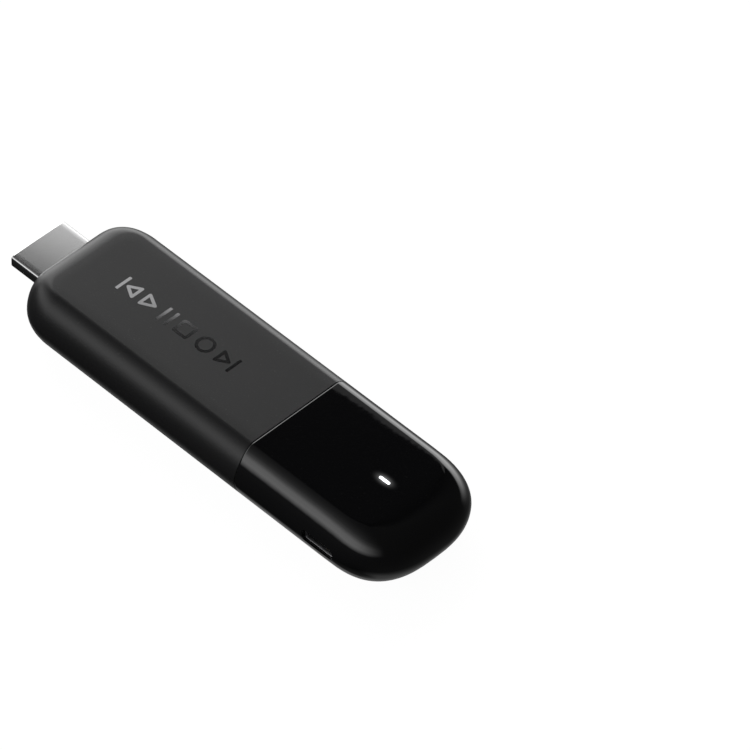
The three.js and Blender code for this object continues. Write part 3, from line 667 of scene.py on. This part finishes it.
def bar(bm, u):
    """An upright stroke."""
    corners = oblong(STROKE / 2, HALF_HEIGHT, u + STROKE / 2)
    loop = rounded_loop(corners, [BAR_CORNER] * 4, ARC_STEPS)
    capped(bm, [[(SYMBOLS_START_X - p.x, -p.y, z) for p in loop]
                for z in (FOIL_BASE_Z, FOIL_TOP_Z)])


def arrow(bm, u, width, reverse=False):
    """A triangle that points on along the row, or back."""
    if reverse:
        corners = [(u, 0), (u + width, -HALF_HEIGHT), (u + width, HALF_HEIGHT)]
    else:
        corners = [(u, -HALF_HEIGHT), (u + width, 0), (u, HALF_HEIGHT)]
    outlined(bm, corners, ARROW_CORNER)


bm = bmesh.new()
u = 0.0
bar(bm, u)
arrow(bm, u + STROKE + SKIP_GAP, SKIP_WIDTH, reverse=True)
u += STROKE + SKIP_GAP + SKIP_WIDTH + SYMBOL_GAP
arrow(bm, u, PLAY_WIDTH)
u += PLAY_WIDTH + SYMBOL_GAP
bar(bm, u)
bar(bm, u + PAUSE_WIDTH - STROKE)
u += PAUSE_WIDTH + SYMBOL_GAP
outlined(bm, oblong(STOP_HALF, STOP_HALF, u + STOP_HALF), STOP_CORNER)
u += 2 * STOP_HALF + SYMBOL_GAP
outlined(bm, oblong(RING_RADIUS, RING_RADIUS, u + RING_RADIUS), RING_RADIUS - SMALLEST_RADIUS)
u += 2 * RING_RADIUS + SYMBOL_GAP
arrow(bm, u, SKIP_WIDTH)
bar(bm, u + SKIP_WIDTH + SKIP_GAP)
symbols = piece_of(bm, "front_symbols", FOIL_CREASE)

mirror_foil = finish_of("mirror_foil", (0.8, 0.8, 0.81), 0.04, metallic=1.0, spread=0.02,
                        rubbed=0.0, dusty=0.01)
settle(symbols, mirror_foil, "connector_nickel")


# ---------------------------------------------------------------- gloss end cap
# The tip of the case: a polished black moulding that plugs into the sleeve on a spigot with two
# snap latches. It has a slot for the status light in front and the power socket's opening at +Y.

SPIGOT_LENGTH = 4.0
SPIGOT_ROOT = 3.0
SPIGOT_OUTSIDE = WALL + 0.15
SPIGOT_INSIDE = SPIGOT_OUTSIDE + 0.9

start_x = SEAM_X - SEAM_GAP / 2
root_x = SEAM_X - SPIGOT_ROOT
bm = bmesh.new()
outer_rim = add_form(bm, case_end(TIP_X, start_x, TIP_CORNER, 0, LIP))
inner_rim = add_form(bm, case_end(TIP_X, root_x, TIP_CORNER, WALL, 0))
spigot_end = SEAM_X + SPIGOT_LENGTH
spigot = [(start_x, SPIGOT_OUTSIDE), (spigot_end, SPIGOT_OUTSIDE), (spigot_end, SPIGOT_INSIDE),
          (root_x, SPIGOT_INSIDE)]
seam_walls(bm, outer_rim, spigot, inner_rim)
end_cap = piece_of(bm, "end_cap")

socket_low, socket_high = (Vector(corner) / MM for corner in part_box("socket_shell"))
SOCKET_MID = (socket_low + socket_high) / 2
SOCKET_HALF_WIDTH = (socket_high.x - socket_low.x) / 2
SOCKET_HALF_HEIGHT = (socket_high.z - socket_low.z) / 2
SOCKET_CORNER = 0.6


def socket_ring(y, grow):
    """The power socket's rounded outline at y, grown all round."""
    corners = oblong(SOCKET_HALF_HEIGHT + grow, SOCKET_HALF_WIDTH + grow)
    loop = rounded_loop(corners, [max(SOCKET_CORNER + grow, 0.05)] * 4, 5)
    return [(SOCKET_MID.x + p.y, y, SOCKET_MID.z + p.x) for p in loop]


SOCKET_HOLE_PLAY = 0.2
HOLE_FLARE = 0.12
HOLE_FLARE_DEPTH = 0.25
bm = bmesh.new()
hole_sections = [(socket_low.y, 0.0), (HALF_WIDTH - HOLE_FLARE_DEPTH, 0.0),
                 (HALF_WIDTH, HOLE_FLARE), (HALF_WIDTH + 2, HOLE_FLARE + 1)]
capped(bm, [socket_ring(y, SOCKET_HOLE_PLAY + flare) for y, flare in hole_sections])
cut(end_cap, piece_of(bm, "socket_opening"))

light_low, light_high = (Vector(corner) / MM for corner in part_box("light_guide"))
LIGHT_X = (light_low.x + light_high.x) / 2
LIGHT_LENGTH = 2.6
LIGHT_WIDTH = 0.6
LIGHT_ROOM = 0.03


def light_ring(z, grow):
    """The status light's round-ended outline at z, grown all round."""
    half_length, half_width = LIGHT_LENGTH / 2 + grow, LIGHT_WIDTH / 2 + grow
    loop = rounded_loop(oblong(half_length, half_width), [half_width - 0.01] * 4, 5)
    return [(LIGHT_X + p.x, p.y, z) for p in loop]


LIGHT_SLOT_REACH = (-3, 1)
bm = bmesh.new()
capped(bm, [light_ring(CASE_TOP + reach, LIGHT_ROOM) for reach in LIGHT_SLOT_REACH])
cut(end_cap, piece_of(bm, "light_slot"))

gloss_cap_with_painted_halo = finish_of("gloss_cap_plastic_painted_halo", (0.004, 0.004, 0.0045), 0.05, grain_size=0.004,
                          bump=0.02, spread=0.02, rubbed=0.02, dusty=0.012, IOR=1.52)

# a painted glow round the light's slot: white emission on the cap's own surface stands in for the
# slot's light scattering in the cap, and dies away over 2 mm
PAINTED_HALO_REACH = 2.0
PAINTED_HALO_POWER = 4.0
PAINTED_HALO_SQUEEZE = 0.52
PAINTED_HALO_GLOW = 0.45
cap_tree = gloss_cap_with_painted_halo.node_tree
cap_shader = cap_tree.nodes["Principled BSDF"]
squeeze = cap_tree.nodes.new("ShaderNodeVectorMath")
squeeze.operation = "MULTIPLY_ADD"
squeeze.inputs[1].default_value = (PAINTED_HALO_SQUEEZE, 1, 1)
squeeze.inputs[2].default_value = (LIGHT_X * MM * (1 - PAINTED_HALO_SQUEEZE), 0, 0)
from_light = cap_tree.nodes.new("ShaderNodeVectorMath")
from_light.operation = "DISTANCE"
from_light.inputs[1].default_value = (LIGHT_X * MM, 0, CASE_TOP * MM)
# the painted halo: emission painted on the cap plastic, strongest at the slot and gone 2 mm away
near = fade_node(cap_tree, from_light.outputs["Value"], PAINTED_HALO_REACH * MM, 0.0, "LINEAR")
painted_halo = math_node(cap_tree, "POWER", near, PAINTED_HALO_POWER)
join(cap_tree, (cap_tree.nodes.new("ShaderNodeTexCoord").outputs["Object"], squeeze.inputs[0]),
     (squeeze.outputs[0], from_light.inputs[0]),
     (blend_node(cap_tree, painted_halo, (0, 0, 0, 1), (1, 1, 1, 1)), cap_shader.inputs["Emission Color"]))
cap_shader.inputs["Emission Strength"].default_value = PAINTED_HALO_GLOW
settle(end_cap, gloss_cap_with_painted_halo, "cap_plastic", "gloss_end_cap")


# ---------------------------------------------------------------- status light
# A clear moulded light guide: a blade with round ends in the cap's slot, on a flange that is glued
# behind the wall. It carries the white glow of a small chip on the board below it.

FLANGE_THICKNESS = 0.8
FLANGE_REACH = 0.9
FLANGE_GAP = 0.1
TOP_ROUND = 0.08
ROUND_MIDDLE = 0.3
flange_top = CASE_TOP - WALL - FLANGE_GAP
bm = bmesh.new()
capped(bm, [
    light_ring(light_low.z, 0.0), light_ring(flange_top - FLANGE_THICKNESS, 0.0),
    light_ring(flange_top - FLANGE_THICKNESS, FLANGE_REACH), light_ring(flange_top, FLANGE_REACH),
    light_ring(flange_top, 0.0), light_ring(CASE_TOP - TOP_ROUND, 0.0),
    light_ring(CASE_TOP - TOP_ROUND * ROUND_MIDDLE, -TOP_ROUND * ROUND_MIDDLE),
    light_ring(CASE_TOP, -TOP_ROUND),
])
light_guide = piece_of(bm, "status_light_guide")
lit_plastic = finish_of("lit_guide_plastic", (0.85, 0.86, 0.88), 0.35, rubbed=0.0, dusty=0.0,
                        Emission_Color=(0.95, 0.97, 1.0, 1), Emission_Strength=3.0)
settle(light_guide, lit_plastic, "light_diffuser", "light_guide")


# ---------------------------------------------------------------- video plug shell
# One strip of nickel-plated steel rolled into a D and locked by a dovetail along the middle of its
# narrow side, with two punched windows that catch the socket's springs. Its mouth is eased.

PLUG_SHEET = 0.35
MOUTH_EASE = 0.14
INNER_EASE = 0.05
plug_tip = plug_high.x
plug_root = PLUG_END_X - 3
# the shell's section all round, as (x, inset): out along its outside, over its mouth and back inside;
# the ring just behind the mouth keeps the sides flat up to it
MOUTH_GUARD = 0.3
shell_section = [
    (plug_low.x, 0.0), (plug_root, 0.0), (plug_tip - MOUTH_GUARD, 0.0), (plug_tip - MOUTH_EASE, 0.0),
    (plug_tip - MOUTH_EASE * ROUND_MIDDLE, MOUTH_EASE * ROUND_MIDDLE), (plug_tip, MOUTH_EASE),
    (plug_tip, PLUG_SHEET - INNER_EASE), (plug_tip - INNER_EASE, PLUG_SHEET),
    (plug_root, PLUG_SHEET), (plug_low.x, PLUG_SHEET),
]
bm = bmesh.new()
loft(bm, [plug_ring(x, inset) for x, inset in shell_section], closed=True)
plug_shell = piece_of(bm, "video_plug_shell")

WINDOW_FROM_TIP = 4.7
WINDOW_SPREAD = 5.0
WINDOW_LENGTH = 1.5
WINDOW_WIDTH = 1.45
WINDOW_CORNER = 0.22
WINDOW_EASE = 0.06


def window_ring(z, side, grow):
    """A window's rounded outline at z, on one side of the dovetail, grown all round."""
    corners = oblong(WINDOW_LENGTH / 2 + grow, WINDOW_WIDTH / 2 + grow)
    middle = Vector((plug_tip - WINDOW_FROM_TIP, side * WINDOW_SPREAD / 2))
    return [(*(middle + p), z) for p in rounded_loop(corners, [WINDOW_CORNER] * 4, 4)]


# from outside the sheet to just past its inner face, as (height over its outside, grow)
window_sections = [(-1, WINDOW_EASE), (0, WINDOW_EASE), (WINDOW_EASE, 0.0), (PLUG_SHEET + 0.03, 0.0)]
for side in (-1, 1):
    bm = bmesh.new()
    capped(bm, [window_ring(plug_low.z + rise, side, grow) for rise, grow in window_sections])
    cut(plug_shell, piece_of(bm, "window"))

# the closed dovetail shows as a fine stepped line, cut from outside the sheet to part of its depth
JOINT_WIDTH = 0.07
JOINT_CUT = (-0.5, 0.2)
JOINT_LINE = [(plug_tip + 1, 0), (plug_tip - 2.2, 0), (plug_tip - 1.9, 0.75), (plug_tip - 3.9, 0.75),
              (plug_tip - 3.6, 0), (PLUG_END_X - 2, 0)]


def beside(line, offset):
    """The line moved sideways by an offset, with its corners kept sharp."""
    points = [Vector(point) for point in line]
    moved = []
    for i, point in enumerate(points):
        into = (point - points[i - 1]).normalized() if i else (points[1] - point).normalized()
        out = (points[i + 1] - point).normalized() if i < len(points) - 1 else into
        normal = Vector((-into.y - out.y, into.x + out.x))
        moved.append(point + normal * offset / (1 + into.dot(out)))
    return moved


outline = beside(JOINT_LINE, JOINT_WIDTH / 2) + beside(JOINT_LINE, -JOINT_WIDTH / 2)[::-1]
joint_heights = [plug_low.z + rise for rise in JOINT_CUT]
bm = bmesh.new()
capped(bm, [[(p.x, p.y, z) for p in outline] for z in joint_heights])
cut(plug_shell, piece_of(bm, "dovetail_line"))

nickel = finish_of("brushed_nickel", (0.40, 0.40, 0.40), 0.15, metallic=1.0, grain_size=0.0003,
                   bump=0.03, spread=0.04, rubbed=0.25, rubbed_colour=(0.6, 0.6, 0.6), dusty=0.02)
settle(plug_shell, nickel, "connector_nickel", "plug_shell")


# ---------------------------------------------------------------- plug insulator and contacts
# A black moulded block fills the shell behind its mouth, with a slot for the socket's tongue.
# Nineteen gold-plated strips lie in grooves above and below the slot, and bow near the mouth.

insulator_low, insulator_high = (Vector(corner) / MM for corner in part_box("plug_insulator"))
MOULD_GAP = 0.06
FRONT_EASE = 0.15
INSULATOR_SLOT_HALF = (5.8, 0.95)
SLOT_FLOOR = 3.0
SLOT_EASE = 0.2
inset = PLUG_SHEET + MOULD_GAP
bm = bmesh.new()
capped(bm, [plug_ring(insulator_low.x, inset), plug_ring(insulator_high.x - FRONT_EASE, inset),
            plug_ring(insulator_high.x, inset + FRONT_EASE)])
insulator = piece_of(bm, "plug_insulator_block")


def slot_ring(x, grow):
    """The tongue slot's outline at x, grown all round."""
    corners = oblong(*(half + grow for half in INSULATOR_SLOT_HALF))
    return [(x, p.x, PLUG_MID_Z + p.y) for p in rounded_loop(corners, [SLOT_EASE] * 4, 3)]


bm = bmesh.new()
capped(bm, [
    slot_ring(insulator_low.x + SLOT_FLOOR, 0.0), slot_ring(insulator_high.x - SLOT_EASE, 0.0),
    slot_ring(insulator_high.x, SLOT_EASE), slot_ring(insulator_high.x + 1, SLOT_EASE),
])
cut(insulator, piece_of(bm, "tongue_slot"))

CONTACT_COUNT = 19
CONTACT_THICKNESS = 0.2
GROOVE_DEPTH = 0.22
GROOVE_ROOM = 0.05
# how far the grooves run past the slot's floor, the contacts' noses and the slot's wall
GROOVE_BACK = 0.6
GROOVE_FRONT = 0.2
GROOVE_OPEN = 0.4


def box_into(bm, low, high):
    """Six faces of a box between two corners."""
    corners = [[bm.verts.new((x, y, z)) for x, y in
                ((low[0], low[1]), (high[0], low[1]), (high[0], high[1]), (low[0], high[1]))]
               for z in (low[2], high[2])]
    bridge(bm, corners[0], corners[1])
    bm.faces.new(corners[0][::-1])
    bm.faces.new(corners[1])


contact_boxes = {}
for number in range(1, CONTACT_COUNT + 1):
    node = f"plug_contact_{number:02d}"
    contact_boxes[node] = [Vector(corner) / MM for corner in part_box(node)]

wall_z = INSULATOR_SLOT_HALF[1]
bm = bmesh.new()
for low, high in contact_boxes.values():
    side = 1 if low.z > PLUG_MID_Z else -1
    span = sorted(PLUG_MID_Z + side * (wall_z + depth) for depth in (-GROOVE_OPEN, GROOVE_DEPTH))
    box_into(bm, (insulator_low.x + SLOT_FLOOR - GROOVE_BACK, low.y - GROOVE_ROOM, span[0]),
             (high.x + GROOVE_FRONT, high.y + GROOVE_ROOM, span[1]))
cut(insulator, piece_of(bm, "contact_grooves"))

black_resin = finish_of("black_connector_resin", (0.012, 0.012, 0.013), 0.5, grain_size=0.0003,
                        bump=0.1, rubbed=0.1, dusty=0.02)
settle(insulator, black_resin, "connector_resin", "plug_insulator")

gold = finish_of("gold_plate", (0.83, 0.62, 0.32), 0.2, metallic=1.0, spread=0.05, rubbed=0.1,
                 rubbed_colour=(0.7, 0.6, 0.45), dusty=0.0)


# a strip slopes away from the slot's middle up to LIFT_END of its length, and bows back in at
# BOW_PLACE
CONTACT_REST = 0.68
CONTACT_LIFT = 0.22
LIFT_END = 0.45
CONTACT_BOW = 0.32
BOW_PLACE = 0.8
BOW_SPREAD = 0.09
CONTACT_POINTS = 22


def contact_height(share):
    """How far a strip stands from the slot's middle, from its tail (0) to its nose (1)."""
    lift = CONTACT_LIFT * min(1.0, share / LIFT_END)
    return CONTACT_REST + lift - CONTACT_BOW * math.exp(-((share - BOW_PLACE) / BOW_SPREAD) ** 2)


for node, (low, high) in contact_boxes.items():
    side = 1 if low.z > PLUG_MID_Z else -1
    rings = []
    for i in range(CONTACT_POINTS + 1):
        share = i / CONTACT_POINTS
        x = low.x + (high.x - low.x) * share
        z = PLUG_MID_Z + side * contact_height(share)
        half_t = CONTACT_THICKNESS / 2 if i < CONTACT_POINTS else CONTACT_THICKNESS / 4
        rings.append([(x, low.y, z - half_t), (x, high.y, z - half_t),
                      (x, high.y, z + half_t), (x, low.y, z + half_t)])
    bm = bmesh.new()
    capped(bm, rings)
    settle(piece_of(bm, node.replace("plug_contact", "sprung_contact")), gold, "gold_plate", node)


# ---------------------------------------------------------------- power socket
# A drawn steel shell with flared lips round a black tongue that carries five gold contacts on its
# underside. It is soldered to the board and looks out through the cap's side wall.

SOCKET_SHEET = 0.25
SOCKET_FLARE = 0.1
FLARE_LENGTH = 0.5
LIP_EASE = 0.05
flare_y, ease_y = socket_high.y - FLARE_LENGTH, socket_high.y - LIP_EASE
inner_flare = SOCKET_FLARE - SOCKET_SHEET
bm = bmesh.new()
loft(bm, [
    socket_ring(socket_low.y, 0.0), socket_ring(flare_y, 0.0), socket_ring(ease_y, SOCKET_FLARE),
    socket_ring(socket_high.y, SOCKET_FLARE - LIP_EASE),
    socket_ring(socket_high.y, inner_flare + LIP_EASE), socket_ring(ease_y, inner_flare),
    socket_ring(flare_y, -SOCKET_SHEET), socket_ring(socket_low.y, -SOCKET_SHEET),
], closed=True)
socket_shell = piece_of(bm, "power_socket_shell")
drawn_steel = finish_of("drawn_steel", (0.30, 0.30, 0.31), 0.34, metallic=1.0, bump=0.03,
                        rubbed=0.1, rubbed_colour=(0.4, 0.4, 0.4), dusty=0.0)
settle(socket_shell, drawn_steel, "connector_nickel", "socket_shell")

tongue_low, tongue_high = (Vector(corner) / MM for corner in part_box("socket_tongue"))
TONGUE_HALF_WIDTH = 1.85
TONGUE_THICKNESS = 0.6
TONGUE_EASE = 0.12
TONGUE_RISE = 0.35
TONGUE_CORNER = 0.08
SOCKET_BACK = 1.0
BACK_FIT = 0.1


def tongue_ring(y, grow):
    """The tongue's rounded outline at y, grown all round."""
    corners = oblong(TONGUE_THICKNESS / 2 + grow, TONGUE_HALF_WIDTH + grow)
    loop = rounded_loop(corners, [TONGUE_CORNER] * 4, 5)
    return [(SOCKET_MID.x + p.y, y, SOCKET_MID.z + TONGUE_RISE + p.x) for p in loop]


back_face = tongue_low.y + SOCKET_BACK
back_inset = -SOCKET_SHEET - BACK_FIT
bm = bmesh.new()
capped(bm, [socket_ring(tongue_low.y, back_inset), socket_ring(back_face, back_inset),
            tongue_ring(back_face, 0.0), tongue_ring(tongue_high.y - TONGUE_EASE, 0.0),
            tongue_ring(tongue_high.y, -TONGUE_EASE)])
settle(piece_of(bm, "power_socket_tongue"), black_resin, "connector_resin", "socket_tongue")

STRIP_EASE = (0.3, 0.05)
for number in range(1, 6):
    node = f"socket_contact_{number}"
    low, high = (Vector(corner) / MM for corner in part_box(node))
    bm = bmesh.new()
    # each strip's underside rises a little at its nose
    sections = [(low.y, low.z), (high.y - STRIP_EASE[0], low.z), (high.y, low.z + STRIP_EASE[1])]
    capped(bm, [[(low.x, y, under), (high.x, y, under), (high.x, y, high.z), (low.x, y, high.z)]
                for y, under in sections])
    settle(piece_of(bm, f"socket_strip_{number}"), gold, "gold_plate", node)


# ---------------------------------------------------------------- board, carrier and what they hold
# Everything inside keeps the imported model's shape: a moulded carrier, a glass-fibre board with its
# chips under a stamped shield, pads and aluminium heat spreaders front and back, and two antennas.


def carry(material, *nodes):
    """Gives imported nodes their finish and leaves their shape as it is."""
    for node in nodes:
        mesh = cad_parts[node].data
        mesh.materials.clear()
        mesh.materials.append(material)


carry(finish_of("carrier_plastic", (0.045, 0.045, 0.047), 0.55, bump=0.1), "carrier_frame")
carry(finish_of("board_lacquer", (0.010, 0.060, 0.035), 0.35, grain_size=0.0006, bump=0.05),
      "main_board")
carry(finish_of("chip_resin", (0.018, 0.018, 0.019), 0.5, bump=0.12),
      "processor", "memory_chip", "flash_chip", "power_chip")
carry(finish_of("stamped_steel", (0.60, 0.60, 0.61), 0.32, metallic=1.0, bump=0.04),
      "shield_frame", "shield_lid", "wifi_module", "clock_crystal", "board_screw_1", "board_screw_2",
      "tip_antenna", "side_antenna")
carry(finish_of("spreader_aluminium", (0.72, 0.73, 0.75), 0.38, metallic=1.0, grain_size=0.0004,
                bump=0.08), "front_spreader", "back_spreader")
carry(finish_of("thermal_pad", (0.36, 0.47, 0.55), 0.85, bump=0.2),
      "processor_pad", "front_pad", "back_pad")
carry(finish_of("capacitor_resin", (0.56, 0.26, 0.04), 0.45), "capacitor_1", "capacitor_2")
carry(finish_of("ferrite", (0.05, 0.05, 0.055), 0.65, grain_size=0.0003, bump=0.2),
      "power_inductor_1", "power_inductor_2")
carry(finish_of("lit_chip", (0.9, 0.9, 0.86), 0.4, Emission_Color=(0.95, 0.97, 1.0, 1),
                Emission_Strength=4.0), "status_led")
